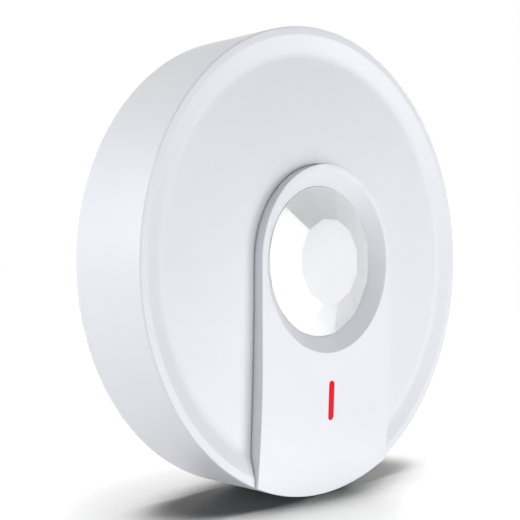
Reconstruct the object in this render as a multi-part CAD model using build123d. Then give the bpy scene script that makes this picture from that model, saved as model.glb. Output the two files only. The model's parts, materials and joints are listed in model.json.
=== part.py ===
from build123d import *
import os
from math import cos, radians, sin, sqrt

# Ceiling motion detector: a round housing with a dished face, a keyhole fascia that carries
# the faceted lens and the indicator, and a bayonet plate that stays on the ceiling.
# Sizes are in millimetres. The part is drawn as it is seen from the room: X right, Y up and
# Z out of the ceiling, with Z = 0 on the ceiling. It is turned at the end so that the face
# looks along -Y and +Z is up.

# How far a cutting body runs past the surface that it opens
PAST = 1.0

# How many flat sides stand for a small hidden rod's curve
ROD_SIDES = 12

# Housing
DIAMETER = 110.0
SIDE_WALL = 2.2
FACE_WALL = 2.0
RIM_LAND = 1.9
RIM_CHAMFER = 0.35
SKIRT_STANDOFF = 0.4
COVE_WIDTH = 4.8
COVE_DROP = 1.35
COVE_STEPS = 3
DISH_DROP_AT_LENS = 0.2

# Lens and the funnel round it
LENS_SIDES = 12
LENS_RADIUS = 17.85
LENS_MIDDLE_RADIUS = 15.2
LENS_TABLE_RADIUS = 10.25
LENS_WALL = 0.9
LENS_TABLE_SUNK = 0.15
LENS_MIDDLE_DROP = 1.8
LENS_BASE_DROP = 2.8
FLANGE_WIDTH = 2.2
FLANGE_THICKNESS = 0.8
RETAINER_THICKNESS = 1.2
RETAINER_WIDTH = 3.2
LENS_FIT = 0.05
SPIGOT_FIT = 0.15

# Fascia
SPIGOT_WALL = 1.3
SPIGOT_LENGTH = 2.0
FASCIA_SHOULDER = 1.45
FUNNEL_LIP = 1.45
FASCIA_PROUD = 2.2
FASCIA_AT_RIM = 1.9
FASCIA_WALL = 1.6
FASCIA_FLAT_BELOW_MOUTH = 0.5
FASCIA_GAP = 0.12
FASCIA_CHAMFER = 0.3
HOOK_WIDTH = 4.0
HOOK_WALL = 1.3
HOOK_BARB = 0.7
HOOK_PLACES = [(16.0, -29.0), (15.0, -43.0)]

# Indicator
PIPE_LENGTH = 9.3
PIPE_WIDTH = 1.8
PIPE_PLACE = (0.5, -32.8)
PIPE_FIT = 0.05
PIPE_FLANGE = 1.2
PIPE_FLANGE_THICKNESS = 1.0
LED_LENGTH = 3.5
LED_WIDTH = 2.8
LED_HEIGHT = 1.9
LED_GAP = 0.4
LED_DISH_RADIUS = 1.1
LED_DISH_DEPTH = 0.6

# Bayonet
PLATE_THICKNESS = 2.0
AXIAL_GAP = 0.3
RADIAL_GAP = 0.3
LEDGE_REAR = 1.2
LEDGE_THICKNESS = 1.5
LEDGE_REACH = 2.0
LEDGE_SPAN = 15.0
LUG_THICKNESS = 1.5
LUG_SPAN = 13.0
LUG_WALL = 2.3
LUG_ANGLES = [30.0, 150.0, 270.0]
STOP_SPAN = 2.0
STOP_GAP_ANGLE = 0.5
UNLOCK_TURN = 15.0

# Ceiling plate
WINDOW_RADIUS = 18.5
STIFFENER_WIDTH = 1.4
STIFFENER_HEIGHT = 0.8
SLOT_SPACING = 60.0
SLOT_LENGTH = 10.0
SLOT_WIDTH = 4.5

# Rear cover
COVER_GAP = 0.3
COVER_LIP = 1.8
COLLAR_WALL = 2.0
FLOOR_THICKNESS = 1.8
SCREW_RADIUS = 1.2
SCREW_HEAD_RADIUS = 2.6
SCREW_HEAD_HEIGHT = 1.4
SCREW_GRIP = 8.0
SCREW_TO_COLLAR = 1.1
SCREW_RECESS = 0.6
SCREW_RECESS_WIDTH = 0.5
SCREW_ANGLES = [90.0, 210.0, 330.0]
BOSS_RADIUS = 2.9
BORE_GAP = 0.05

# Battery bay
CELL_DIAMETER = 10.5
CELL_LENGTH = 44.5
CELL_NUB_RADIUS = 1.9
CELL_NUB_LENGTH = 1.0
CELL_SPACING = 11.2
CELL_SUNK = 0.4
CELL_GAP = 0.3
CONTACT_SPACE = 1.75
CONTACT_THICKNESS = 0.4
CONTACT_SIZE = 8.0
CONTACT_BUTTON_RADIUS = 3.6
CONTACT_TAPER = 30.0
BAY_WALL = 1.4
BAY_BACK_WALL = 1.2
BAY_RIB = 1.0
BAY_RIB_HEIGHT = 3.4
BAY_RIB_INSET = 4.5
BAY_TO_BOSS = 0.7
FRONT_ROOM = 5.1

# Circuit board and what it carries. An inset is counted from the board's round edge along X
# and then down from its straight edge.
SWITCH_SPACE = 4.0
BOARD_THICKNESS = 1.6
BOARD_MARGIN = 6.8
BOARD_TO_BAY = 0.4
POST_RADIUS = 2.4
POST_INSET = 10.0
POST_RISE = 4.0
POST_LOW_INSET = 3.0
POST_PILOT_DEPTH = 3.2
BOARD_SCREW_RADIUS = 0.95
BOARD_SCREW_HEAD_RADIUS = 1.9
BOARD_SCREW_HEAD_HEIGHT = 1.2
BOARD_SCREW_TIP_GAP = 0.4
BOARD_HOLE_GAP = 0.2
COLLAR_BASE = 0.6
COLLAR_RADIUS = 6.4
COLLAR_HEIGHT = 2.6
SENSOR_FLANGE_RADIUS = 4.6
SENSOR_FLANGE = 0.5
SENSOR_CAN_RADIUS = 4.1
SENSOR_HEIGHT = 4.2
SENSOR_PIN = 0.5
SENSOR_PIN_CIRCLE = 2.54
SENSOR_PIN_ANGLES = [45.0, 180.0, 315.0]
SENSOR_PIN_PROUD = 0.6
SENSOR_WINDOW = 4.4
SENSOR_WINDOW_THICKNESS = 0.5
RADIO_INSET = (22.0, 21.9)
RADIO_WIDTH = 14.0
RADIO_LENGTH = 22.0
RADIO_THICKNESS = 0.8
SHIELD_WIDTH = 11.6
SHIELD_LENGTH = 13.4
SHIELD_HEIGHT = 2.2
SHIELD_INSET = 1.0
SHIELD_ROUND = 0.8
CONTROLLER_PLACE = (-14.0, -20.0)
CONTROLLER_SIZE = 7.0
CONTROLLER_HEIGHT = 0.9
CONTROLLER_CHAMFER = 0.5
CAPACITOR_INSETS = [(27.0, 7.9), (20.0, 9.9)]
CAPACITOR_RADIUS = 2.6
CAPACITOR_HEIGHT = 4.6
CONNECTOR_INSET = (29.0, 5.4)
CONNECTOR_SIZE = (6.0, 4.4, 3.6)
CONNECTOR_WALL = 0.8
CONNECTOR_BASE = 1.2
ANTENNA_WIDTH = 1.4
ANTENNA_THICKNESS = 0.5
ANTENNA_START = 285.0
ANTENNA_SPAN = 32.0
ANTENNA_INSET = 3.0

# Moving controls on the rear
RUNNING_GAP = 0.08
TAMPER_CIRCLE = 31.0
TAMPER_ANGLE = 205.0
TAMPER_RADIUS = 2.3
TAMPER_PROUD = 1.0
TAMPER_TRAVEL = 1.2
TAMPER_FLANGE = 1.1
PLUNGER_FLANGE_THICKNESS = 0.6
NOSE_RADIUS = 1.5
NOSE_DIP = 0.3
PLUNGER_CHAMFER = 0.3
SWITCH_SIZE = 6.0
SWITCH_WALL = 0.4
SWITCH_CHAMFER = 0.4
TAMPER_SLOT_GAP = 0.5
BUTTON_PLACE = (10.5, -6.0)
BUTTON_RADIUS = 3.4
BUTTON_SUNK = 0.2
BUTTON_TRAVEL = 0.6
BUTTON_FLANGE = 0.9
SLIDER_PLACE = (-10.5, -6.0)
SLIDER_TRAVEL = 2.0
SLIDER_KNOB = (1.6, 1.4)
SLIDER_SHUTTLE = (4.4, 3.0)
SLIDER_SHUTTLE_HEIGHT = 1.6
SLIDER_SUNK = 0.2
SLIDER_BODY_WALL = 0.9
SLIDER_BODY_HEIGHT = 3.2

# Radii that follow from the diameter
RADIUS = DIAMETER / 2
HOUSING_INNER = RADIUS - SIDE_WALL
FLOOR_RADIUS = HOUSING_INNER - COVER_GAP
COLLAR_OUTER = FLOOR_RADIUS - COVER_LIP
COLLAR_INNER = COLLAR_OUTER - COLLAR_WALL
LUG_OUTER = COLLAR_INNER - RADIAL_GAP
LEDGE_INNER = COLLAR_INNER - LEDGE_REACH
PLATE_RADIUS = LEDGE_INNER - RADIAL_GAP
SCREW_CIRCLE = COLLAR_INNER - SCREW_HEAD_RADIUS - SCREW_TO_COLLAR
BOARD_RADIUS = HOUSING_INNER - BOARD_MARGIN

# Levels that follow from the stack, counted from the ceiling
LEDGE_FRONT = LEDGE_REAR + LEDGE_THICKNESS
LUG_REAR = max(LEDGE_FRONT, PLATE_THICKNESS) + AXIAL_GAP
LUG_FRONT = LUG_REAR + LUG_THICKNESS
FLOOR_REAR = LUG_FRONT + AXIAL_GAP
FLOOR_FRONT = FLOOR_REAR + FLOOR_THICKNESS
BOARD_REAR = FLOOR_FRONT + SWITCH_SPACE
BOARD_FRONT = BOARD_REAR + BOARD_THICKNESS
CELL_AXIS = FLOOR_REAR + CELL_SUNK + CELL_DIAMETER / 2
BAY_BACK = CELL_AXIS + CELL_DIAMETER / 2 + CELL_GAP
RIM_DEPTH = BAY_BACK + BAY_BACK_WALL + FRONT_ROOM
POCKET_DEPTH = RIM_DEPTH - FASCIA_AT_RIM
POCKET_UNDERSIDE = POCKET_DEPTH - FACE_WALL
FASCIA_DEPTH = RIM_DEPTH + FASCIA_PROUD

# Battery bay outline
BAY_TOP = SCREW_CIRCLE - BOSS_RADIUS - BAY_TO_BOSS
BAY_HALF_LENGTH = CELL_LENGTH / 2 + CONTACT_SPACE
BAY_HEIGHT = CELL_SPACING + CELL_DIAMETER + 2 * CELL_GAP
BAY_CENTRE = BAY_TOP - BAY_WALL - BAY_HEIGHT / 2
BAY_BOTTOM = BAY_CENTRE - BAY_HEIGHT / 2 - BAY_WALL
BOARD_EDGE = BAY_BOTTOM - BOARD_TO_BAY
CELL_ROWS = [BAY_CENTRE - CELL_SPACING / 2, BAY_CENTRE + CELL_SPACING / 2]

# Lens and fascia radii, worked outwards from the lens
FLANGE_RADIUS = LENS_RADIUS + FLANGE_WIDTH
SPIGOT_INNER = FLANGE_RADIUS + SPIGOT_FIT
SPIGOT_OUTER = SPIGOT_INNER + SPIGOT_WALL
FASCIA_HALF = SPIGOT_OUTER + FASCIA_SHOULDER
MOUTH_RADIUS = FASCIA_HALF - FUNNEL_LIP
FASCIA_BEND_START = -(MOUTH_RADIUS + FASCIA_FLAT_BELOW_MOUTH)
TO_FLAT = cos(radians(180 / LENS_SIDES))
LENS_TABLE = FASCIA_DEPTH - LENS_TABLE_SUNK
LENS_MIDDLE = LENS_TABLE - LENS_MIDDLE_DROP
LENS_BASE = LENS_TABLE - LENS_BASE_DROP
FLANGE_FRONT = LENS_BASE - LENS_WALL
FLANGE_REAR = FLANGE_FRONT - FLANGE_THICKNESS
SENSOR_SEAT = BOARD_FRONT + COLLAR_BASE

# The face: a flat rim, a cove of narrow cones, and a dish that rises a little towards the lens
VALLEY_RADIUS = RADIUS - RIM_LAND - COVE_WIDTH
VALLEY_DEPTH = RIM_DEPTH - COVE_DROP
DISH_SLOPE = (COVE_DROP - DISH_DROP_AT_LENS) / (VALLEY_RADIUS - FASCIA_HALF)
ROOF_DEPTH = VALLEY_DEPTH - FACE_WALL


def rod(x, y, radius, low, high):
    return Pos(x, y, (low + high) / 2) * Cylinder(radius, high - low)


def ring(inner, outer, low, high):
    return rod(0, 0, outer, low, high) - rod(0, 0, inner, low - PAST, high + PAST)


def block(x, y, width, height, low, high):
    return Pos(x, y, (low + high) / 2) * Box(width, height, high - low)


def prism(sketch, low, high):
    return extrude(Pos(0, 0, low) * sketch, high - low)


def faceted_rod(x, y, radius, low, high):
    """A plain rod of few flats, for small pieces that lie in round holes."""
    return prism(Pos(x, y) * RegularPolygon(radius, ROD_SIDES), low, high)


def polar(radius, angle):
    return radius * cos(radians(angle)), radius * sin(radians(angle))


def sector(inner, outer, start, span, low, high):
    """Part of a flat ring, from an angle and over a span, in degrees."""
    section = Pos((inner + outer) / 2, (low + high) / 2) * Rectangle(outer - inner, high - low)
    return Rot(0, 0, start) * revolve(Plane.XZ * section, Axis.Z, span)


def turned(outline):
    """A closed outline of radius and level, turned about the detector's axis."""
    return revolve(Plane.XZ * make_face(outline), Axis.Z)


def dish_depth(radius):
    """The face's level at a radius inside the cove."""
    return VALLEY_DEPTH + DISH_SLOPE * (VALLEY_RADIUS - radius)


def housing_shell():
    """The drum: side wall, flat rim, cove and dished face, open at the ceiling."""
    valley = (VALLEY_RADIUS, VALLEY_DEPTH)
    land_inner = (RADIUS - RIM_LAND, RIM_DEPTH)
    bend = TangentArc(valley, land_inner, tangent=(1, -DISH_SLOPE))
    cove = [tuple(bend @ (step / COVE_STEPS))[:2] for step in range(1, COVE_STEPS)]
    outline = [
        (0, dish_depth(0)),
        valley,
        *cove,
        land_inner,
        (RADIUS - RIM_CHAMFER, RIM_DEPTH),
        (RADIUS, RIM_DEPTH - RIM_CHAMFER),
        (RADIUS, SKIRT_STANDOFF),
        (HOUSING_INNER, SKIRT_STANDOFF),
        (HOUSING_INNER, ROOF_DEPTH),
        (0, ROOF_DEPTH),
    ]
    return turned(Polyline(*outline, close=True))


def keyhole(half_width):
    """A half round over a straight tongue that runs past the rim."""
    tongue = Pos(0, -RADIUS) * Rectangle(2 * half_width, 2 * RADIUS)
    return Circle(half_width) + tongue


def hook_places():
    return [(side * x, y) for x, y in HOOK_PLACES for side in (-1, 1)]


def front_housing():
    shell = housing_shell()
    edge = FASCIA_HALF + FASCIA_GAP
    pad = prism(keyhole(edge + FACE_WALL), POCKET_UNDERSIDE, POCKET_DEPTH)
    body = shell + (pad & rod(0, 0, HOUSING_INNER + SIDE_WALL / 2, 0, FASCIA_DEPTH))
    for angle in SCREW_ANGLES:
        x, y = polar(SCREW_CIRCLE, angle)
        body += faceted_rod(x, y, BOSS_RADIUS, FLOOR_FRONT, ROOF_DEPTH + FACE_WALL / 2)
    body -= prism(keyhole(edge), POCKET_DEPTH, FASCIA_DEPTH + PAST)
    body -= rod(0, 0, SPIGOT_OUTER + FASCIA_GAP, POCKET_UNDERSIDE - PAST, POCKET_DEPTH + PAST)
    slot = SlotOverall(PIPE_LENGTH + 2 * FASCIA_GAP, PIPE_WIDTH + 2 * FASCIA_GAP, 90)
    body -= prism(Pos(*PIPE_PLACE) * slot, POCKET_UNDERSIDE - PAST, POCKET_DEPTH + PAST)
    for x, y in hook_places():
        reach = HOOK_WALL + HOOK_BARB + 2 * FASCIA_GAP
        width = HOOK_WIDTH + 2 * FASCIA_GAP
        body -= block(x, y, reach, width, POCKET_UNDERSIDE - PAST, POCKET_DEPTH + PAST)
    for angle in SCREW_ANGLES:
        x, y = polar(SCREW_CIRCLE, angle)
        bore = SCREW_RADIUS + BORE_GAP
        body -= faceted_rod(x, y, bore, FLOOR_FRONT - PAST, FLOOR_FRONT + SCREW_GRIP + PAST)
    return body


def under_fascia_face(lowered):
    """Everything behind the fascia's front: flat round the lens, then falling to the rim."""
    top = FASCIA_DEPTH - lowered
    run = RADIUS + FASCIA_BEND_START
    bend = (run**2 + FASCIA_PROUD**2) / (2 * FASCIA_PROUD)
    past = run + PAST
    end = (FASCIA_BEND_START - past, top - bend + sqrt(bend**2 - past**2))
    head = FASCIA_HALF + PAST
    outline = [
        Line((head, top), (FASCIA_BEND_START, top)),
        TangentArc((FASCIA_BEND_START, top), end, tangent=(-1, 0)),
        Polyline(end, (end[0], 0), (head, 0), (head, top)),
    ]
    side = Plane.YZ * make_face(outline)
    return extrude(side, RADIUS, both=True)


def hook(x, y):
    """A snap leg with a barb that grips behind the pocket's floor, away from the centre line."""
    side = 1 if x > 0 else -1
    inner = x - side * (HOOK_WALL + HOOK_BARB) / 2
    outer = inner + side * HOOK_WALL
    grip = POCKET_UNDERSIDE - FASCIA_GAP
    points = [
        (inner, FASCIA_DEPTH),
        (inner, grip - HOOK_WALL),
        (outer, grip - HOOK_WALL),
        (outer + side * HOOK_BARB, grip),
        (outer, grip),
        (outer, FASCIA_DEPTH),
    ]
    section = Plane.XZ * make_face(Polyline(*points, close=True))
    return Pos(0, y, 0) * extrude(section, HOOK_WIDTH / 2, both=True)


def fascia_outline_edges(plate):
    """The edges of the front along the round head and the tongue's two sides."""
    front = plate.faces().filter_by(lambda face: face.normal_at().Z > cos(radians(20)))
    front = front.filter_by(lambda face: face.center().Z > POCKET_DEPTH + PAST)
    return front.edges().filter_by(lambda edge: abs(edge.center().X) > PAST or edge.center().Y > PAST)


def fascia():
    """The keyhole cover: hollow behind, with the conical funnel and the lens spigot."""
    outer = prism(keyhole(FASCIA_HALF), POCKET_DEPTH, FASCIA_DEPTH)
    outer = outer & under_fascia_face(0) & rod(0, 0, RADIUS, 0, FASCIA_DEPTH)
    outer = chamfer(fascia_outline_edges(outer), FASCIA_CHAMFER)
    hollow = prism(keyhole(FASCIA_HALF - FASCIA_WALL), POCKET_DEPTH - PAST, FASCIA_DEPTH)
    hollow = hollow & under_fascia_face(FASCIA_WALL) & rod(0, 0, RADIUS - FASCIA_WALL, 0, FASCIA_DEPTH)
    body = outer - hollow
    body += rod(0, 0, SPIGOT_OUTER, POCKET_DEPTH - SPIGOT_LENGTH, FASCIA_DEPTH - FASCIA_CHAMFER)
    funnel = [
        (0, FASCIA_DEPTH + PAST),
        (MOUTH_RADIUS, FASCIA_DEPTH + PAST),
        (MOUTH_RADIUS, FASCIA_DEPTH),
        (LENS_RADIUS + LENS_FIT, LENS_BASE),
        (LENS_RADIUS + LENS_FIT, FLANGE_FRONT),
        (SPIGOT_INNER, FLANGE_FRONT),
        (SPIGOT_INNER, POCKET_DEPTH - SPIGOT_LENGTH - PAST),
        (0, POCKET_DEPTH - SPIGOT_LENGTH - PAST),
    ]
    body -= turned(Polyline(*funnel, close=True))
    for x, y in hook_places():
        body += hook(x, y) & under_fascia_face(FASCIA_WALL / 2)
    slot = SlotOverall(PIPE_LENGTH + 2 * PIPE_FIT, PIPE_WIDTH + 2 * PIPE_FIT, 90)
    body -= prism(Pos(*PIPE_PLACE) * slot, POCKET_DEPTH, FASCIA_DEPTH + PAST)
    return body


def polygon_at(radius, level):
    """A regular outline with a corner half a step off the X axis."""
    turn = 180 / LENS_SIDES
    return Pos(0, 0, level) * RegularPolygon(radius, LENS_SIDES, rotation=turn)


def facet_corner(radius, side, level):
    """Where the edge between two facets crosses a level."""
    angle = radians(360 * (side + 0.5) / LENS_SIDES)
    return (radius * cos(angle), radius * sin(angle), level)


def faceted_solid(outline):
    """A solid of flat facets that joins one regular outline to the next, closed by two flat ends."""
    faces = []
    for (upper, top), (lower, bottom) in zip(outline, outline[1:]):
        for side in range(LENS_SIDES):
            corners = [
                facet_corner(upper, side, top),
                facet_corner(lower, side, bottom),
                facet_corner(lower, side + 1, bottom),
                facet_corner(upper, side + 1, top),
            ]
            faces.append(Face(Wire.make_polygon(corners)))
    for radius, level in (outline[0], outline[-1]):
        corners = [facet_corner(radius, side, level) for side in range(LENS_SIDES)]
        faces.append(Face(Wire.make_polygon(corners)))
    return Solid(Shell(faces))


def faceted_dome(shrink, lowered):
    """Two rings of flat facets round a flat table, over a straight skirt."""
    spread = LENS_RADIUS / TO_FLAT
    fall = (LENS_MIDDLE - LENS_BASE) / (LENS_RADIUS - LENS_MIDDLE_RADIUS * TO_FLAT)
    drop = fall * (spread - LENS_MIDDLE_RADIUS) * TO_FLAT
    outline = [
        (LENS_TABLE_RADIUS - shrink, LENS_TABLE - lowered),
        (LENS_MIDDLE_RADIUS - shrink, LENS_MIDDLE - lowered),
        (spread - shrink, LENS_MIDDLE - drop - lowered),
        (spread - shrink, FLANGE_REAR - PAST),
    ]
    return faceted_solid(outline)


def lens():
    """A thin faceted shell, round at its base, with a flange that lies behind the funnel."""
    body = faceted_dome(0, 0) & rod(0, 0, LENS_RADIUS, FLANGE_REAR, FASCIA_DEPTH)
    body += prism(polygon_at(FLANGE_RADIUS, 0), FLANGE_REAR, FLANGE_FRONT)
    return body - faceted_dome(LENS_WALL / TO_FLAT + LENS_WALL, LENS_WALL)


def lens_retainer():
    """A flat ring of flats pressed into the spigot behind the lens's flange."""
    low = FLANGE_REAR - RETAINER_THICKNESS
    outline = polygon_at(FLANGE_RADIUS, 0) - polygon_at(FLANGE_RADIUS - RETAINER_WIDTH, 0)
    return prism(outline, low, FLANGE_REAR)


def light_pipe():
    """A red bar that shows in the fascia, with a flange on the pocket's floor."""
    bar = prism(Pos(*PIPE_PLACE) * SlotOverall(PIPE_LENGTH, PIPE_WIDTH, 90),
                BOARD_FRONT + LED_HEIGHT + LED_GAP, FASCIA_DEPTH)
    bar += block(*PIPE_PLACE, PIPE_WIDTH + 2 * PIPE_FLANGE, PIPE_LENGTH + 2 * PIPE_FLANGE,
                 POCKET_DEPTH, POCKET_DEPTH + PIPE_FLANGE_THICKNESS)
    return bar & under_fascia_face(0)


def mounting_plate():
    """The ceiling plate: screw slots, a window for the controls, and three bayonet lugs."""
    body = ring(WINDOW_RADIUS, PLATE_RADIUS, 0, PLATE_THICKNESS)
    rib_top = PLATE_THICKNESS + STIFFENER_HEIGHT
    body += ring(WINDOW_RADIUS, WINDOW_RADIUS + STIFFENER_WIDTH, 0, rib_top)
    for angle in LUG_ANGLES:
        start = angle - LUG_SPAN / 2
        upstand = PLATE_RADIUS - LUG_WALL
        body += sector(upstand, PLATE_RADIUS - RADIAL_GAP, start, LUG_SPAN, 0, LUG_FRONT)
        body += sector(upstand, LUG_OUTER, start, LUG_SPAN, LUG_REAR, LUG_FRONT)
    for turn in (0, 90, 180, 270):
        slot = Rot(0, 0, turn) * Pos(SLOT_SPACING / 2, 0) * SlotOverall(SLOT_LENGTH, SLOT_WIDTH)
        body -= prism(slot, -PAST, rib_top + PAST)
    return body - tamper_slot(rib_top)


def tamper_slot(top):
    """The curved slot that lets the plunger through at every angle of the bayonet."""
    half = TAMPER_RADIUS + TAMPER_SLOT_GAP
    low, high = -PAST, top + PAST
    inner, outer = TAMPER_CIRCLE - half, TAMPER_CIRCLE + half
    cut = sector(inner, outer, TAMPER_ANGLE, UNLOCK_TURN, low, high)
    for angle in (TAMPER_ANGLE, TAMPER_ANGLE + UNLOCK_TURN):
        x, y = polar(TAMPER_CIRCLE, angle)
        cut += rod(x, y, half, low, high)
    return cut


def board_place(side, inset):
    """A place on the board, on its left or right, at an inset from its two edges."""
    return side * (BOARD_RADIUS - inset[0]), BOARD_EDGE - inset[1]


def board_posts():
    side = BOARD_RADIUS - POST_INSET
    return [(-side, POST_RISE), (side, POST_RISE), (0.0, POST_LOW_INSET - BOARD_RADIUS)]


def battery_bay():
    """The well for two cells, open to the rear, with a rib between them."""
    length = 2 * BAY_HALF_LENGTH
    well = block(0, BAY_CENTRE, length + 2 * BAY_WALL, BAY_HEIGHT + 2 * BAY_WALL,
                 FLOOR_REAR, BAY_BACK + BAY_BACK_WALL)
    well -= block(0, BAY_CENTRE, length, BAY_HEIGHT, FLOOR_REAR - PAST, BAY_BACK)
    rib_length = CELL_LENGTH - 2 * BAY_RIB_INSET
    return well + block(0, BAY_CENTRE, rib_length, BAY_RIB, BAY_BACK - BAY_RIB_HEIGHT, BAY_BACK)


def rear_cover():
    """The back of the housing: collar with bayonet ledges, battery bay and board posts."""
    body = rod(0, 0, FLOOR_RADIUS, FLOOR_REAR, FLOOR_FRONT)
    body += ring(COLLAR_INNER, COLLAR_OUTER, LEDGE_REAR - AXIAL_GAP, FLOOR_REAR)
    root = COLLAR_INNER + COLLAR_WALL / 2
    for angle in LUG_ANGLES:
        start = angle - LEDGE_SPAN / 2
        body += sector(LEDGE_INNER, root, start, LEDGE_SPAN, LEDGE_REAR, LEDGE_FRONT)
        stop = angle + LUG_SPAN / 2 + STOP_GAP_ANGLE
        body += sector(LEDGE_INNER, root, stop, STOP_SPAN, LEDGE_REAR, FLOOR_REAR)
    for x, y in board_posts():
        body += faceted_rod(x, y, POST_RADIUS, FLOOR_FRONT, BOARD_REAR)
    body -= block(0, BAY_CENTRE, 2 * BAY_HALF_LENGTH, BAY_HEIGHT, FLOOR_REAR - PAST, FLOOR_FRONT + PAST)
    body += battery_bay()
    for x, y in board_posts():
        low = BOARD_REAR - POST_PILOT_DEPTH
        body -= faceted_rod(x, y, BOARD_SCREW_RADIUS + BORE_GAP, low, BOARD_REAR + PAST)
    for angle in SCREW_ANGLES:
        x, y = polar(SCREW_CIRCLE, angle)
        body -= faceted_rod(x, y, SCREW_RADIUS + 2 * BORE_GAP, FLOOR_REAR - PAST, FLOOR_FRONT + PAST)
    x, y = polar(TAMPER_CIRCLE, TAMPER_ANGLE)
    body -= rod(x, y, TAMPER_RADIUS + RUNNING_GAP, FLOOR_REAR - PAST, FLOOR_FRONT + PAST)
    body -= rod(*BUTTON_PLACE, BUTTON_RADIUS + RUNNING_GAP, FLOOR_REAR - PAST, FLOOR_FRONT + PAST)
    slot_length = SLIDER_KNOB[0] + SLIDER_TRAVEL + 4 * RUNNING_GAP
    slot_x = SLIDER_PLACE[0] + SLIDER_TRAVEL / 2
    body -= block(slot_x, SLIDER_PLACE[1], slot_length, SLIDER_KNOB[1] + 4 * RUNNING_GAP,
                  FLOOR_REAR - PAST, FLOOR_FRONT + PAST)
    return body


def housing_screws():
    """Pan-head screws from the rear, through the cover into the housing's bosses."""
    seat = FLOOR_REAR
    head_rear = seat - SCREW_HEAD_HEIGHT
    made = []
    for angle in SCREW_ANGLES:
        x, y = polar(SCREW_CIRCLE, angle)
        screw = faceted_rod(x, y, SCREW_HEAD_RADIUS, head_rear, seat)
        screw += faceted_rod(x, y, SCREW_RADIUS, seat, FLOOR_FRONT + SCREW_GRIP)
        recess = (head_rear - PAST, head_rear + SCREW_RECESS)
        screw -= block(x, y, SCREW_HEAD_RADIUS, SCREW_RECESS_WIDTH, *recess)
        screw -= block(x, y, SCREW_RECESS_WIDTH, SCREW_HEAD_RADIUS, *recess)
        made.append(screw)
    return made


def board_screws():
    """Short screws from the front, through the board into the cover's posts."""
    tip = BOARD_REAR - POST_PILOT_DEPTH + BOARD_SCREW_TIP_GAP
    top = BOARD_FRONT + BOARD_SCREW_HEAD_HEIGHT
    made = []
    for x, y in board_posts():
        head = faceted_rod(x, y, BOARD_SCREW_HEAD_RADIUS, BOARD_FRONT, top)
        made.append(head + faceted_rod(x, y, BOARD_SCREW_RADIUS, tip, BOARD_FRONT))
    return made


def circuit_board():
    """A round board cut off below the battery bay, notched round the housing bosses."""
    board = rod(0, 0, BOARD_RADIUS, BOARD_REAR, BOARD_FRONT)
    size = 2 * BOARD_RADIUS
    board -= block(0, BOARD_EDGE + BOARD_RADIUS, size, size, BOARD_REAR - PAST, BOARD_FRONT + PAST)
    for angle in SCREW_ANGLES:
        x, y = polar(SCREW_CIRCLE, angle)
        notch = BOSS_RADIUS + 2 * BOARD_HOLE_GAP
        board -= faceted_rod(x, y, notch, BOARD_REAR - PAST, BOARD_FRONT + PAST)
    for x, y in board_posts():
        bore = BOARD_SCREW_RADIUS + BOARD_HOLE_GAP
        board -= faceted_rod(x, y, bore, BOARD_REAR - PAST, BOARD_FRONT + PAST)
    hole = SENSOR_PIN + 2 * BOARD_HOLE_GAP
    for x, y in sensor_pins():
        board -= block(x, y, hole, hole, BOARD_REAR - PAST, BOARD_FRONT + PAST)
    return board


def sensor_pins():
    return [polar(SENSOR_PIN_CIRCLE, angle) for angle in SENSOR_PIN_ANGLES]


def sensor_collar():
    """A plastic cup that holds the sensor can off the board, centred under the lens."""
    top = SENSOR_SEAT + COLLAR_HEIGHT
    body = faceted_rod(0, 0, COLLAR_RADIUS, BOARD_FRONT, top)
    body -= faceted_rod(0, 0, SENSOR_FLANGE_RADIUS + BORE_GAP, SENSOR_SEAT, top + PAST)
    hole = SENSOR_PIN + 2 * BOARD_HOLE_GAP
    for x, y in sensor_pins():
        body -= block(x, y, hole, hole, BOARD_FRONT - PAST, SENSOR_SEAT + PAST)
    return body


def sensor_can():
    """A metal can with a square front opening and three pins through the board."""
    top = SENSOR_SEAT + SENSOR_HEIGHT
    body = faceted_rod(0, 0, SENSOR_FLANGE_RADIUS, SENSOR_SEAT, SENSOR_SEAT + SENSOR_FLANGE)
    body += rod(0, 0, SENSOR_CAN_RADIUS, SENSOR_SEAT, top)
    body -= block(0, 0, SENSOR_WINDOW, SENSOR_WINDOW, top - SENSOR_WINDOW_THICKNESS, top + PAST)
    for x, y in sensor_pins():
        body += block(x, y, SENSOR_PIN, SENSOR_PIN, BOARD_REAR - SENSOR_PIN_PROUD, SENSOR_SEAT)
    return body


def sensor_window():
    top = SENSOR_SEAT + SENSOR_HEIGHT
    size = SENSOR_WINDOW - 2 * BORE_GAP
    return block(0, 0, size, size, top - SENSOR_WINDOW_THICKNESS, top - BORE_GAP)


def indicator_led():
    """A surface-mounted lamp with a round dish, under the light pipe."""
    top = BOARD_FRONT + LED_HEIGHT
    body = block(*PIPE_PLACE, LED_LENGTH, LED_WIDTH, BOARD_FRONT, top)
    return body - faceted_rod(*PIPE_PLACE, LED_DISH_RADIUS, top - LED_DISH_DEPTH, top + PAST)


def radio_board():
    x, y = board_place(1, RADIO_INSET)
    return block(x, y, RADIO_WIDTH, RADIO_LENGTH, BOARD_FRONT, BOARD_FRONT + RADIO_THICKNESS)


def radio_shield():
    """A metal can near the lower end of the radio board."""
    low = BOARD_FRONT + RADIO_THICKNESS
    x, y = board_place(1, RADIO_INSET)
    y -= (RADIO_LENGTH - SHIELD_LENGTH) / 2 - SHIELD_INSET
    can = block(x, y, SHIELD_WIDTH, SHIELD_LENGTH, low, low + SHIELD_HEIGHT)
    return fillet(can.edges().filter_by(Axis.Z), SHIELD_ROUND)


def antenna():
    """A stamped strip that lies in an arc along the board's edge."""
    outer = BOARD_RADIUS - ANTENNA_INSET
    top = BOARD_FRONT + ANTENNA_THICKNESS
    return sector(outer - ANTENNA_WIDTH, outer, ANTENNA_START, ANTENNA_SPAN, BOARD_FRONT, top)


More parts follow.
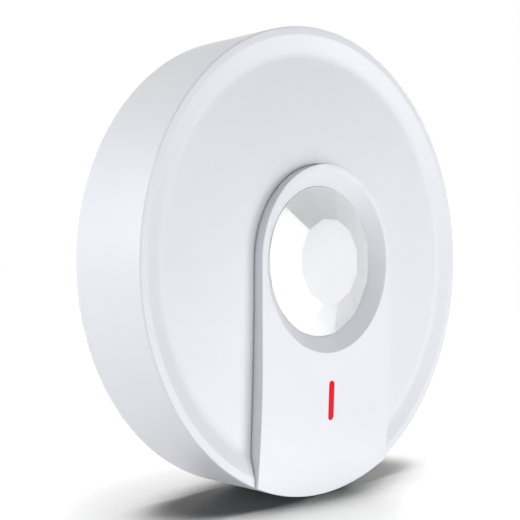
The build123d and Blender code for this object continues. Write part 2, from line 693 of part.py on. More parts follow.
def controller():
    x, y = CONTROLLER_PLACE
    body = block(x, y, CONTROLLER_SIZE, CONTROLLER_SIZE, BOARD_FRONT, BOARD_FRONT + CONTROLLER_HEIGHT)
    return chamfer(body.edges().filter_by(Axis.Z), CONTROLLER_CHAMFER)


def capacitors():
    top = BOARD_FRONT + CAPACITOR_HEIGHT
    places = [board_place(-1, inset) for inset in CAPACITOR_INSETS]
    return [faceted_rod(x, y, CAPACITOR_RADIUS, BOARD_FRONT, top) for x, y in places]


def battery_connector():
    """An open socket for the lead from the battery bay."""
    x, y = board_place(1, CONNECTOR_INSET)
    width, length, height = CONNECTOR_SIZE
    top = BOARD_FRONT + height
    body = block(x, y, width, length, BOARD_FRONT, top)
    inside = (width - 2 * CONNECTOR_WALL, length - 2 * CONNECTOR_WALL)
    return body - block(x, y, *inside, BOARD_FRONT + CONNECTOR_BASE, top + PAST)


def cell(row, direction):
    """A cylindrical cell along X with its nub at the end that direction gives."""
    half = CELL_LENGTH / 2
    can = Cylinder(CELL_DIAMETER / 2, CELL_LENGTH - CELL_NUB_LENGTH)
    nub = Pos(0, 0, half - CELL_NUB_LENGTH / 2) * Cylinder(CELL_NUB_RADIUS, CELL_NUB_LENGTH)
    standing = Pos(0, 0, -CELL_NUB_LENGTH / 2) * can + nub
    return Pos(0, row, CELL_AXIS) * (Rot(0, 90 * direction, 0) * standing)


def contact(row, side, reach):
    """A plate on the bay's end wall with a round button that meets the cell."""
    wall = side * (BAY_HALF_LENGTH - CONTACT_THICKNESS / 2)
    plate = Pos(wall, row, CELL_AXIS) * Box(CONTACT_THICKNESS, CONTACT_SIZE, CONTACT_SIZE)
    start = BAY_HALF_LENGTH - CONTACT_THICKNESS
    end = CELL_LENGTH / 2 + BORE_GAP
    button = extrude(RegularPolygon(reach, ROD_SIDES), start - end, taper=CONTACT_TAPER)
    return plate + Pos(side * start, row, CELL_AXIS) * (Rot(0, -90 * side, 0) * button)


def bridge_contact():
    """One strip at the right that joins the two cells in series."""
    positive = contact(CELL_ROWS[0], 1, CELL_NUB_RADIUS)
    negative = contact(CELL_ROWS[1], 1, CONTACT_BUTTON_RADIUS)
    wall = BAY_HALF_LENGTH - CONTACT_THICKNESS / 2
    strap = Pos(wall, BAY_CENTRE, CELL_AXIS) * Box(CONTACT_THICKNESS, CELL_SPACING, CONTACT_SIZE / 2)
    return positive + negative + strap


def switch_body(x, y, low):
    """A square push switch on the board's rear with a blind well for the plunger's nose."""
    body = block(x, y, SWITCH_SIZE, SWITCH_SIZE, low, BOARD_REAR)
    body = chamfer(body.edges().filter_by(Axis.Z), SWITCH_CHAMFER)
    return body - faceted_rod(x, y, NOSE_RADIUS + RUNNING_GAP, low - PAST, BOARD_REAR - SWITCH_WALL)


def plunger(x, y, radius, tip, flange, travel):
    """A pin through the rear cover: a flange keeps it in and its nose works the switch."""
    flange_front = FLOOR_FRONT + PLUNGER_FLANGE_THICKNESS
    body = rod(x, y, radius, tip, FLOOR_FRONT)
    body = chamfer(body.edges().group_by(Axis.Z)[0], PLUNGER_CHAMFER)
    body += faceted_rod(x, y, radius + flange, FLOOR_FRONT, flange_front)
    return body + faceted_rod(x, y, NOSE_RADIUS, flange_front, switch_level(travel) + NOSE_DIP)


def switch_level(travel):
    """The switch's rear face, just past the flange at the end of its travel."""
    return FLOOR_FRONT + PLUNGER_FLANGE_THICKNESS + travel + NOSE_DIP


def tamper_place():
    return polar(TAMPER_CIRCLE, TAMPER_ANGLE)


def tamper_plunger():
    return plunger(*tamper_place(), TAMPER_RADIUS, -TAMPER_PROUD, TAMPER_FLANGE, TAMPER_TRAVEL)


def link_button():
    return plunger(*BUTTON_PLACE, BUTTON_RADIUS, FLOOR_REAR + BUTTON_SUNK, BUTTON_FLANGE, BUTTON_TRAVEL)


def power_switch():
    """The slide switch's body: an open trough that the shuttle runs in."""
    x = SLIDER_PLACE[0] + SLIDER_TRAVEL / 2
    y = SLIDER_PLACE[1]
    length = SLIDER_SHUTTLE[0] + SLIDER_TRAVEL + 2 * RUNNING_GAP
    width = SLIDER_SHUTTLE[1] + 2 * RUNNING_GAP
    low = BOARD_REAR - SLIDER_BODY_HEIGHT
    body = block(x, y, length + 2 * SLIDER_BODY_WALL, width + 2 * SLIDER_BODY_WALL, low, BOARD_REAR)
    return body - block(x, y, length, width, low - PAST, BOARD_REAR - SLIDER_BODY_WALL)


def power_slider():
    """The shuttle in the switch with its knob, which stands in the rear cover's slot."""
    x, y = SLIDER_PLACE
    floor = BOARD_REAR - SLIDER_BODY_WALL
    shuttle = block(x, y, *SLIDER_SHUTTLE, floor - SLIDER_SHUTTLE_HEIGHT, floor)
    return shuttle + block(x, y, *SLIDER_KNOB, FLOOR_REAR + SLIDER_SUNK, floor)


def put(name, *made):
    """Turns the solids from the room's view into the row's frame and writes them."""
    turned_solids = [Rot(90, 0, 0) * solid for solid in made]
    shape = Compound(children=turned_solids) if len(made) > 1 else turned_solids[0]
    export_step(shape, f"parts/{name}.step")


os.makedirs("parts", exist_ok=True)
put("front_housing", front_housing())
put("fascia", fascia())
put("lens", lens())
put("lens_retainer", lens_retainer())
put("light_pipe", light_pipe())
put("mounting_plate", mounting_plate())
put("rear_cover", rear_cover())
put("housing_screws", *housing_screws())
put("circuit_board", circuit_board())
put("board_screws", *board_screws())
put("sensor_collar", sensor_collar())
put("sensor_can", sensor_can())
put("sensor_window", sensor_window())
put("indicator_led", indicator_led())
put("radio_board", radio_board())
put("radio_shield", radio_shield())
put("antenna", antenna())
put("controller", controller())
put("capacitors", *capacitors())
put("battery_connector", battery_connector())
put("battery_lower", cell(CELL_ROWS[0], 1))
put("battery_upper", cell(CELL_ROWS[1], -1))
put("bridge_contact", bridge_contact())
put("negative_contact", contact(CELL_ROWS[0], -1, CONTACT_BUTTON_RADIUS))
put("positive_contact", contact(CELL_ROWS[1], -1, CELL_NUB_RADIUS))
put("tamper_switch", switch_body(*tamper_place(), switch_level(TAMPER_TRAVEL)))
put("tamper_plunger", tamper_plunger())
put("link_switch", switch_body(*BUTTON_PLACE, switch_level(BUTTON_TRAVEL)))
put("link_button", link_button())
put("power_switch", power_switch())
put("power_slider", power_slider())
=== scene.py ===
import json
from math import acos, cos, pi, radians, sin, sqrt, tan

import bmesh
import bpy
from mathutils import Matrix, Vector
from mathutils.geometry import delaunay_2d_cdt

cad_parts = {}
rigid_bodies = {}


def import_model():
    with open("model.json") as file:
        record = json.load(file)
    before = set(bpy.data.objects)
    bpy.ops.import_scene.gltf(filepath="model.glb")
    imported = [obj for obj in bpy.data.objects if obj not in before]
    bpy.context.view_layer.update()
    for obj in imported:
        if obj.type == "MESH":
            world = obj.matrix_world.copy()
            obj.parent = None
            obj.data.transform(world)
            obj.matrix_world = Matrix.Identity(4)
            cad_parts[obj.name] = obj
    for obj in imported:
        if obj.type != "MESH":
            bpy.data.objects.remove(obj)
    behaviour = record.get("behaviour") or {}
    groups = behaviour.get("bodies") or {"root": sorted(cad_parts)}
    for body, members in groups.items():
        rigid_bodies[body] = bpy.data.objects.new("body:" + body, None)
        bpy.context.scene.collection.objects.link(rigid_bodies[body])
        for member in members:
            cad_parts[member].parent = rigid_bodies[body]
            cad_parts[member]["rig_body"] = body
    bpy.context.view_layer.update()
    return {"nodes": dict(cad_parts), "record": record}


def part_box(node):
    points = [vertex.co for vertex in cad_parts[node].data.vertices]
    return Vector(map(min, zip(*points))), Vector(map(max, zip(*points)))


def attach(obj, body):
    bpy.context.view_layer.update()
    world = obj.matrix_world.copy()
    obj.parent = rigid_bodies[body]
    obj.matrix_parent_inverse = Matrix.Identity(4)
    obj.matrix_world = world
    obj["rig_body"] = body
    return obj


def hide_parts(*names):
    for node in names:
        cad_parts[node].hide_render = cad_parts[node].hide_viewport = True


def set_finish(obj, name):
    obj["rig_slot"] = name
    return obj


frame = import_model()

# Lengths are in millimetres as the detector is seen from the room: X right, Y up and a depth
# counted out of the ceiling. place() turns them into the frame's metres.
MM = 0.001


def place(x, y, depth):
    return (x * MM, -depth * MM, y * MM)


def extent(node):
    """The lowest and the highest X, Y and depth of a CAD node."""
    low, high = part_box(node)
    corners = ((low.x, low.z, -high.y), (high.x, high.z, -low.y))
    return [[round(value / MM, 3) for value in corner] for corner in corners]


# Outer sizes, from the frame
(_, _, SKIRT), (RADIUS, _, RIM_DEPTH) = extent("front_housing")
_, (FASCIA_HALF, _, FASCIA_DEPTH) = extent("fascia")
(_, _, LENS_REAR), (_, _, LENS_TABLE) = extent("lens")
(pipe_left, pipe_bottom, PIPE_LOW), (pipe_right, pipe_top, _) = extent("light_pipe")

# Lens: a flat table, two rings of facets that step down from it, and a flange behind them
SIDES = 12
TO_FLAT = cos(pi / SIDES)
LENS_RADIUS = 17.85
LENS_MIDDLE_RADIUS = 15.2
LENS_TABLE_RADIUS = 10.25
MIDDLE_DROP = 1.8
SEAT_DROP = 2.8
LENS_MIDDLE = LENS_TABLE - MIDDLE_DROP
LENS_SEAT = LENS_TABLE - SEAT_DROP
LENS_WALL = 0.9
LENS_EDGE = 0.1
LENS_EDGE_STEPS = 3
RIM_PARTS = 10
FLANGE_THICKNESS = 0.8
FLANGE_WIDTH = 2.15
FLANGE_FRONT = LENS_REAR + FLANGE_THICKNESS

# Fascia
FASCIA_GAP = 0.12
FASCIA_AT_RIM = 1.9
FASCIA_ROUND = 0.2
FASCIA_ROUND_STEPS = 6
SIDE_STEPS = 34
HEAD_STEPS = 128
END_STEPS = 50

# The funnel through the fascia, and the spigot that holds the lens behind it
FUNNEL_LIP = 1.45
MOUTH_RADIUS = FASCIA_HALF - FUNNEL_LIP
MOUTH_TANGENT = 0.2
MOUTH_STEPS = 6
MOUTH_LEDGE = 1.0
MOUTH_PASSES = 4
LENS_FIT = 0.05
THROAT = LENS_RADIUS + LENS_FIT
FUNNEL_SLOPE = (MOUTH_RADIUS - THROAT) / (FASCIA_DEPTH - LENS_SEAT)
FUNNEL_COLUMNS = 160
SPIGOT_FIT = 0.2
SPIGOT_WALL = 1.3
SPIGOT_INNER = LENS_RADIUS + FLANGE_WIDTH + SPIGOT_FIT
SPIGOT_OUTER = SPIGOT_INNER + SPIGOT_WALL

# The fascia's front is flat as far as a little below the mouth, then bends down to the rim
FLAT_BELOW_MOUTH = 0.5
BEND_START = -MOUTH_RADIUS - FLAT_BELOW_MOUTH
BEND_RUN = RADIUS + BEND_START
BEND_DROP = FASCIA_DEPTH - RIM_DEPTH
BEND_RADIUS = (BEND_RUN**2 + BEND_DROP**2) / (2 * BEND_DROP)

# Points over the front, and how far they keep from its outline and from its openings
GRID_STEP = 1.6
GRID_MARGIN = 1.0
GRID_CLEAR = 0.8

# Housing
SIDE_WALL = 2.2
HOUSING_INNER = RADIUS - SIDE_WALL
SKIRT_ROUND = 0.3
SKIRT_STEPS = 4
RIM_LAND = 1.9
RIM_ROUND = 0.35
LAND_ROUND = 0.25
RIM_STEPS = 8
COVE_WIDTH = 4.8
COVE_DROP = 1.35
VALLEY_RADIUS = RADIUS - RIM_LAND - COVE_WIDTH
VALLEY_DEPTH = RIM_DEPTH - COVE_DROP
COVE_START = 0.6
COVE_FOOT = VALLEY_RADIUS + COVE_START
COVE_BEND = 1.4
DOME_RADIUS = 789.0
DISH_ROWS = 30
FACE_COLUMNS = 320

# The keyhole pocket that the fascia sits in, a hair above its floor
FACE_WALL = 2.0
POCKET_DEPTH = RIM_DEPTH - FASCIA_AT_RIM
POCKET_UNDERSIDE = POCKET_DEPTH - FACE_WALL
POCKET_HALF = FASCIA_HALF + FASCIA_GAP
POCKET_ROUND = 0.14
POCKET_ROUND_STEPS = 4
POCKET_EDGE = POCKET_HALF + POCKET_ROUND
POCKET_END_STEPS = 60
SPIGOT_HOLE_POINTS = 96
FASCIA_LIFT = 0.02
FASCIA_LOW = POCKET_DEPTH + FASCIA_LIFT

# Tubes for the housing screws
SCREW_ANGLES = (90, 210, 330)
BOSS_CIRCLE = 45.0
BOSS_RADIUS = 2.9
BOSS_BORE = 1.25
BOSS_LOW = 6.6
BOSS_POINTS = 32

# Snap hooks below the fascia: their places on the right side, and the section of one
HOOKS = ((16.0, -29.0), (15.0, -43.0))
HOOK_WIDTH = 4.0
HOOK_WALL = 1.3
HOOK_BARB = 0.7
HOOK_GRIP = POCKET_UNDERSIDE - FASCIA_GAP

# Indicator: in the CAD a flange runs round its bar, so its box is that much wider and longer
PIPE_FLANGE = 1.2
PIPE_LENGTH = pipe_top - pipe_bottom - 2 * PIPE_FLANGE
PIPE_WIDTH = pipe_right - pipe_left - 2 * PIPE_FLANGE
PIPE_X = (pipe_left + pipe_right) / 2
PIPE_Y = (pipe_bottom + pipe_top) / 2
PIPE_END_STEPS = 12
PIPE_ROUND = 0.18
PIPE_ROUND_STEPS = 5
PIPE_FIT = 0.05
SLOT_ROUND = 0.1
SLOT_ROUND_STEPS = 3
SPINE_HALF = 3.4
SPINE_STEPS = 5

# Points nearer than this are one: in metres in a mesh, in millimetres where a flat face is filled
SAME_POINT = 2e-7
SAME_CAD_POINT = 2e-6
SAME_FLAT_POINT = 1e-5
NO_LENGTH = 1e-8

# A turn sharper than this shows as an edge, and CAD faces that turn less than SAME_FACE are one
SHARP = radians(35)
FACET_SHARP = radians(4)
SAME_FACE = radians(1)
NORMAL_WEIGHT = 50

# The rounded edges of the pieces that keep their CAD shape: their width, which is EDGE for a
# piece that isn't listed, and their steps
EDGE = 0.12
EDGE_STEPS = 2
EDGES = {
    "mounting_plate": 0.2,
    "rear_cover": 0.2,
    "housing_screws": 0.15,
    "battery_lower": 0.3,
    "battery_upper": 0.3,
    "radio_shield": 0.15,
    "antenna": 0.08,
}


# Outlines

def spread(start, end, count):
    """Evenly spaced values from start to end, with both ends."""
    return [start + (end - start) * i / count for i in range(count + 1)]


def circle(radius, depth, count, start=0.0, x=0.0, y=0.0):
    steps = (start + 2 * pi * i / count for i in range(count))
    return [(x + radius * cos(a), y + radius * sin(a), depth) for a in steps]


def rectangle(x, y, width, height):
    return [(x - width / 2, y - height / 2), (x + width / 2, y - height / 2),
            (x + width / 2, y + height / 2), (x - width / 2, y + height / 2)]


def stadium(grow):
    """The outline of the indicator's bar, moved out by grow on all sides."""
    half = PIPE_WIDTH / 2 + grow
    run = (PIPE_LENGTH - PIPE_WIDTH) / 2
    points = []
    for a in spread(0, pi, PIPE_END_STEPS):
        points.append((PIPE_X + half * cos(a), PIPE_Y + run + half * sin(a)))
    for a in spread(pi, 2 * pi, PIPE_END_STEPS):
        points.append((PIPE_X + half * cos(a), PIPE_Y - run + half * sin(a)))
    return points


def at(points, depth):
    """Flat points, set at one depth."""
    return [(x, y, depth) for x, y in points]


def within(point, polygon):
    """Whether a flat point lies inside a flat polygon."""
    inside = False
    x, y = point
    for a, b in zip(polygon, polygon[1:] + polygon[:1]):
        if (a[1] > y) != (b[1] > y) and x < a[0] + (y - a[1]) * (b[0] - a[0]) / (b[1] - a[1]):
            inside = not inside
    return inside


def rounded(corners, steps):
    """A flat polyline whose corners, given as (x, y, tangent length), are rounded."""
    out = []
    for i, (x, y, tangent) in enumerate(corners):
        here = Vector((x, y))
        if not tangent:
            out.append((x, y))
            continue
        to_last = (Vector(corners[i - 1][:2]) - here).normalized()
        to_next = (Vector(corners[i + 1][:2]) - here).normalized()
        half = acos(max(-1.0, min(1.0, to_last.dot(to_next)))) / 2
        reach = tangent / cos(half)
        radius = tangent * tan(half)
        centre = here + (to_last + to_next).normalized() * reach
        first = here + to_last * tangent - centre
        sign = 1 if to_last.x * to_next.y - to_last.y * to_next.x < 0 else -1
        for turn in spread(0, sign * (pi - 2 * half), steps):
            arm = (Matrix.Rotation(turn, 2) @ first).normalized() * radius
            out.append((centre.x + arm.x, centre.y + arm.y))
    return out


def hook_places():
    return [(side * x, y) for x, y in HOOKS for side in (-1, 1)]


# Meshes

class Skin:
    """A mesh put together from loops of points."""

    def __init__(self):
        self.points = []
        self.faces = []

    def loop(self, points):
        first = len(self.points)
        self.points.extend(points)
        return list(range(first, len(self.points)))

    def bridge(self, a, b, closed=True):
        last = len(a) if closed else len(a) - 1
        for i in range(last):
            j = (i + 1) % len(a)
            self.faces.append((a[i], a[j], b[j], b[i]))

    def bridge_all(self, loops, closed=True):
        for a, b in zip(loops, loops[1:]):
            self.bridge(a, b, closed)

    def fill(self, outline, holes, level, inside=()):
        """Triangles between an outline and its holes. Points inside take their depth from level."""
        border = [outline, *holes]
        used = [index for loop in border for index in loop]
        flat = [Vector(self.points[index][:2]) for index in used]
        flat += [Vector(point) for point in inside]
        edges = []
        start = 0
        for loop in border:
            count = len(loop)
            edges += [(start + i, start + (i + 1) % count) for i in range(count)]
            start += count
        points, _, faces, origins, _, _ = delaunay_2d_cdt(flat, edges, [], 0, SAME_FLAT_POINT)
        index = []
        for point, origin in zip(points, origins):
            if origin and origin[0] < len(used):
                index.append(used[origin[0]])
            else:
                index.append(len(self.points))
                self.points.append((point.x, point.y, level(point.x, point.y)))
        loops = [[Vector(self.points[i][:2]) for i in loop] for loop in border]
        for face in faces:
            centre = sum((points[i] for i in face), Vector((0, 0))) / len(face)
            if within(centre, loops[0]) and not any(within(centre, hole) for hole in loops[1:]):
                self.faces.append(tuple(index[i] for i in face))

    def build(self, name, body, slot, sharp=SHARP):
        """The piece, as one closed surface whose faces look outwards."""
        mesh = bpy.data.meshes.new(name)
        mesh.from_pydata([place(*point) for point in self.points], [], self.faces)
        work = bmesh.new()
        work.from_mesh(mesh)
        bmesh.ops.remove_doubles(work, verts=work.verts, dist=SAME_POINT)
        bmesh.ops.dissolve_degenerate(work, edges=work.edges, dist=NO_LENGTH)
        bmesh.ops.recalc_face_normals(work, faces=work.faces)
        loose = [vertex for vertex in work.verts if not vertex.link_faces]
        bmesh.ops.delete(work, geom=loose, context="VERTS")
        work.to_mesh(mesh)
        work.free()
        made = smooth_object(name, mesh, sharp)
        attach(made, body)
        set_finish(made, slot)
        return made


def smooth_object(name, mesh, sharp):
    """An object that shows its mesh smooth, apart from the edges that turn more than sharp."""
    mesh.shade_smooth()
    mesh.set_sharp_from_angle(angle=sharp)
    made = bpy.data.objects.new(name, mesh)
    bpy.context.scene.collection.objects.link(made)
    return made


def round_edges(made, name, width, segments, angle):
    bevel = made.modifiers.new(name, "BEVEL")
    bevel.width = width * MM
    bevel.segments = segments
    bevel.limit_method = "ANGLE"
    bevel.angle_limit = angle
    bevel.harden_normals = True


def even_normals(made):
    """Flat faces shade as flat, up to the rounded edges beside them."""
    modifier = made.modifiers.new("even_normals", "WEIGHTED_NORMAL")
    modifier.keep_sharp = True
    modifier.weight = NORMAL_WEIGHT


# Housing

def dome(radius):
    """The dish's level: it rises a little from the cove towards the lens."""
    crown = VALLEY_DEPTH + DOME_RADIUS - sqrt(DOME_RADIUS**2 - VALLEY_RADIUS**2)
    return crown - DOME_RADIUS + sqrt(DOME_RADIUS**2 - radius**2)


def face_profile():
    """Radius and depth from the pocket's edge to the outer wall at the pocket's floor."""
    dish = [(radius, dome(radius)) for radius in spread(POCKET_EDGE, COVE_FOOT - COVE_BEND, DISH_ROWS)]
    rim = rounded([
        (*dish[-1], 0),
        (COVE_FOOT, dome(COVE_FOOT), COVE_BEND),
        (RADIUS - RIM_LAND, RIM_DEPTH, LAND_ROUND),
        (RADIUS, RIM_DEPTH, RIM_ROUND),
        (RADIUS, POCKET_DEPTH, 0),
    ], RIM_STEPS)
    # The rim's first two points are where the dish ends
    return dish + rim[2:]


def profile_normal(profile, k):
    """Where the face looks at a point of its profile, as parts of radius and depth."""
    if k == len(profile) - 1:
        return Vector((1, 0))
    along = (Vector(profile[k + 1]) - Vector(profile[max(k - 1, 0)])).normalized()
    return Vector((-along.y, along.x))


def face_row(radius, depth):
    """The arc at one radius, from the pocket's right side over its head to its left side."""
    low = acos(min(1.0, POCKET_EDGE / radius))
    return [(radius * cos(a), radius * sin(a), depth) for a in spread(-low, pi + low, FACE_COLUMNS)]


def pocket_edge(skin, profile, rings):
    """The rounded edge of the keyhole pocket: right side, head, left side."""
    last = len(profile) - 1
    walk = [(k, 0) for k in range(last, 0, -1)]
    walk += [(0, j) for j in range(FACE_COLUMNS + 1)]
    walk += [(k, FACE_COLUMNS) for k in range(1, last + 1)]
    spots = []
    for k, j in walk:
        spot = Vector(skin.points[rings[k][j]])
        away = Vector((spot.x, spot.y, 0)).normalized()
        normal = profile_normal(profile, k)
        inward = -away if k == 0 else Vector((-1 if spot.x > 0 else 1, 0, 0))
        out = Vector((away.x * normal.x, away.y * normal.x, normal.y))
        out = (out - inward * out.dot(inward)).normalized()
        spots.append((spot, inward, out))
    strips = []
    for a in spread(0, pi / 2, POCKET_ROUND_STEPS):
        aside, down = POCKET_ROUND * sin(a), POCKET_ROUND * (1 - cos(a))
        strips.append(skin.loop([tuple(spot + inward * aside - out * down) for spot, inward, out in spots]))
    return strips


def skirt(skin, wall):
    """Loops from the wall's loop at the pocket's floor down, round the skirt and up inside."""
    profile = rounded([
        (RADIUS, POCKET_DEPTH, 0),
        (RADIUS, SKIRT, SKIRT_ROUND),
        (HOUSING_INNER, SKIRT, SKIRT_ROUND),
        (HOUSING_INNER, POCKET_UNDERSIDE, 0),
    ], SKIRT_STEPS)
    loops = [wall]
    for radius, depth in profile[1:]:
        share = radius / RADIUS
        loops.append(skin.loop([(skin.points[i][0] * share, skin.points[i][1] * share, depth) for i in wall]))
    return loops


def pocket_openings():
    """The openings in the pocket's floor for the spigot, the indicator and the hooks."""
    spigot = [point[:2] for point in circle(SPIGOT_OUTER + FASCIA_GAP, 0, SPIGOT_HOLE_POINTS)]
    across = HOOK_WALL + HOOK_BARB + 2 * FASCIA_GAP
    along = HOOK_WIDTH + 2 * FASCIA_GAP
    hooks = [rectangle(x, y, across, along) for x, y in hook_places()]
    return [spigot, stadium(FASCIA_GAP), *hooks]


def boss(skin, x, y):
    """A tube behind the face for a housing screw."""
    corners = (
        (BOSS_RADIUS, BOSS_LOW),
        (BOSS_RADIUS, POCKET_UNDERSIDE),
        (BOSS_BORE, POCKET_UNDERSIDE),
        (BOSS_BORE, BOSS_LOW),
    )
    loops = [skin.loop(circle(radius, depth, BOSS_POINTS, 0, x, y)) for radius, depth in corners]
    skin.bridge_all(loops + [loops[0]])


def housing():
    skin = Skin()
    profile = face_profile()
    rings = [skin.loop(face_row(radius, depth)) for radius, depth in profile]
    skin.bridge_all(rings, closed=False)
    strips = pocket_edge(skin, profile, rings)
    skin.bridge_all(strips, closed=False)
    edge = strips[-1][1:-1]
    wall = skin.loop([(skin.points[i][0], skin.points[i][1], POCKET_DEPTH) for i in edge])
    skin.bridge(edge, wall, closed=False)
    # The outer wall is whole below the pocket's floor, across the end of the pocket too
    opening = acos(POCKET_EDGE / RADIUS)
    arc = spread(pi + opening, 2 * pi - opening, POCKET_END_STEPS)[1:-1]
    across = skin.loop([(RADIUS * cos(a), RADIUS * sin(a), POCKET_DEPTH) for a in arc])
    lower = skirt(skin, rings[-1] + across)
    skin.bridge_all(lower)
    # The pocket's floor and the flat back of the face, with the openings through them
    openings = pocket_openings()
    top = [skin.loop(at(shape, POCKET_DEPTH)) for shape in openings]
    low = [skin.loop(at(shape, POCKET_UNDERSIDE)) for shape in openings]
    for a, b in zip(top, low):
        skin.bridge(a, b)
    end_right = [strip[0] for strip in strips]
    end_left = [strip[-1] for strip in strips]
    floor_line = across + end_right + wall + end_left[::-1]
    skin.fill(floor_line, top, lambda x, y: POCKET_DEPTH)
    skin.fill(lower[-1], low, lambda x, y: POCKET_UNDERSIDE)
    for angle in SCREW_ANGLES:
        boss(skin, BOSS_CIRCLE * cos(radians(angle)), BOSS_CIRCLE * sin(radians(angle)))
    made = skin.build("housing_shell", "detector", "housing_white")
    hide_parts("front_housing")
    even_normals(made)
    return made


# Fascia

def fascia_level(y):
    """The depth of the fascia's front at a height."""
    fall = max(0.0, BEND_START - y)
    return FASCIA_DEPTH - BEND_RADIUS + sqrt(BEND_RADIUS**2 - fall**2)


def front_level(x, y):
    return fascia_level(y)


def keyhole(inset):
    """The fascia's outline: right side, round head, left side, and the end on the rim."""
    half = FASCIA_HALF - inset
    end = RADIUS - inset
    foot = -sqrt(end**2 - half**2)
    points = [(half, y) for y in spread(foot, 0, SIDE_STEPS)]
    points += [(half * cos(a), half * sin(a)) for a in spread(0, pi, HEAD_STEPS)[1:]]
    points += [(-half, y) for y in spread(0, foot, SIDE_STEPS)[1:]]
    start = pi + acos(half / end)
    points += [(end * cos(a), end * sin(a)) for a in spread(start, 3 * pi - start, END_STEPS)[1:-1]]
    return points


def mouth_radius(angle):
    """Where the funnel's cone meets the fascia's front, which falls away below the lens."""
    radius = MOUTH_RADIUS
    for _ in range(MOUTH_PASSES):
        radius = MOUTH_RADIUS - (FASCIA_DEPTH - fascia_level(radius * sin(angle))) * FUNNEL_SLOPE
    return radius


def funnel_column(angle):
    """Points down the funnel and round the spigot behind it, at one angle."""
    mouth = mouth_radius(angle)
    level = fascia_level(mouth * sin(angle))
    column = rounded([
        (mouth + MOUTH_LEDGE, level, 0),
        (mouth, level, MOUTH_TANGENT),
        (THROAT, LENS_SEAT, 0),
    ], MOUTH_STEPS)[1:]
    column += [
        (THROAT, FLANGE_FRONT),
        (SPIGOT_INNER, FLANGE_FRONT),
        (SPIGOT_INNER, POCKET_UNDERSIDE),
        (SPIGOT_OUTER, POCKET_UNDERSIDE),
        (SPIGOT_OUTER, FASCIA_LOW),
    ]
    points = [(radius * cos(angle), radius * sin(angle), depth) for radius, depth in column]
    # The first point is on the front itself
    x, y, _ = points[0]
    return [(x, y, fascia_level(y))] + points[1:]


def slot_loops(skin):
    """The indicator's slot, with a slightly rounded edge."""
    loops = []
    for a in spread(0, pi / 2, SLOT_ROUND_STEPS):
        outline = stadium(PIPE_FIT + SLOT_ROUND * (1 - sin(a)))
        drop = SLOT_ROUND * (1 - cos(a))
        loops.append(skin.loop([(x, y, fascia_level(y) - drop) for x, y in outline]))
    loops.append(skin.loop(at(stadium(PIPE_FIT), FASCIA_LOW)))
    return loops


def on_front(x, y):
    """Whether a point lies on the fascia's front, well inside its edges."""
    reach = sqrt(x * x + y * y)
    in_keyhole = abs(x) < FASCIA_HALF - GRID_MARGIN and (y < 0 or reach < FASCIA_HALF - GRID_MARGIN)
    off_mouth = reach > MOUTH_RADIUS + GRID_CLEAR
    beside_slot = abs(x - PIPE_X) > PIPE_WIDTH / 2 + GRID_CLEAR
    past_slot = abs(y - PIPE_Y) > PIPE_LENGTH / 2 + GRID_CLEAR
    return in_keyhole and reach < RADIUS - GRID_MARGIN and off_mouth and (beside_slot or past_slot)


def front_grid():
    """Rows of points on the fascia's front, so that it bends smoothly."""
    columns = int(FASCIA_HALF / GRID_STEP)
    rows = range(-int(RADIUS / GRID_STEP), columns + 1)
    grid = [(column * GRID_STEP, row * GRID_STEP) for row in rows for column in range(-columns, columns + 1)]
    return [point for point in grid if on_front(*point)]


def hook(skin, x, y):
    """A snap leg below the fascia with its barb, away from the centre line."""
    side = 1 if x > 0 else -1
    inner = x - side * (HOOK_WALL + HOOK_BARB) / 2
    outer = inner + side * HOOK_WALL
    section = [
        (inner, FASCIA_LOW),
        (inner, HOOK_GRIP - HOOK_WALL),
        (outer, HOOK_GRIP - HOOK_WALL),
        (outer + side * HOOK_BARB, HOOK_GRIP),
        (outer, HOOK_GRIP),
        (outer, FASCIA_LOW),
    ]
    near = skin.loop([(across, y - HOOK_WIDTH / 2, depth) for across, depth in section])
    far = skin.loop([(across, y + HOOK_WIDTH / 2, depth) for across, depth in section])
    skin.bridge(near, far)
    skin.faces.append(tuple(near))
    skin.faces.append(tuple(far[::-1]))


def fascia():
    skin = Skin()
    rows = []
    for a in spread(0, pi / 2, FASCIA_ROUND_STEPS):
        outline = keyhole(FASCIA_ROUND * (1 - cos(a)))
        drop = FASCIA_ROUND * (1 - sin(a))
        rows.append(skin.loop([(x, y, fascia_level(y) - drop) for x, y in outline]))
    base = skin.loop(at(keyhole(0), FASCIA_LOW))
    skin.bridge_all([base] + rows)
    columns = [funnel_column(2 * pi * i / FUNNEL_COLUMNS) for i in range(FUNNEL_COLUMNS)]
    rings = [skin.loop(ring) for ring in zip(*columns)]
    skin.bridge_all(rings)
    slot = slot_loops(skin)
    skin.bridge_all(slot)
    skin.fill(rows[-1], [rings[0], slot[0]], front_level, front_grid())
    skin.fill(base, [rings[-1], slot[-1]], lambda x, y: FASCIA_LOW)
    for x, y in hook_places():
        hook(skin, x, y)
    made = skin.build("fascia_cover", "detector", "fascia_white")
    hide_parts("fascia")
    even_normals(made)
    return made


# Lens

def lens_corners(radius, depth):
    angles = [2 * pi * (side + 0.5) / SIDES for side in range(SIDES)]
    return [(radius * cos(a), radius * sin(a), depth) for a in angles]


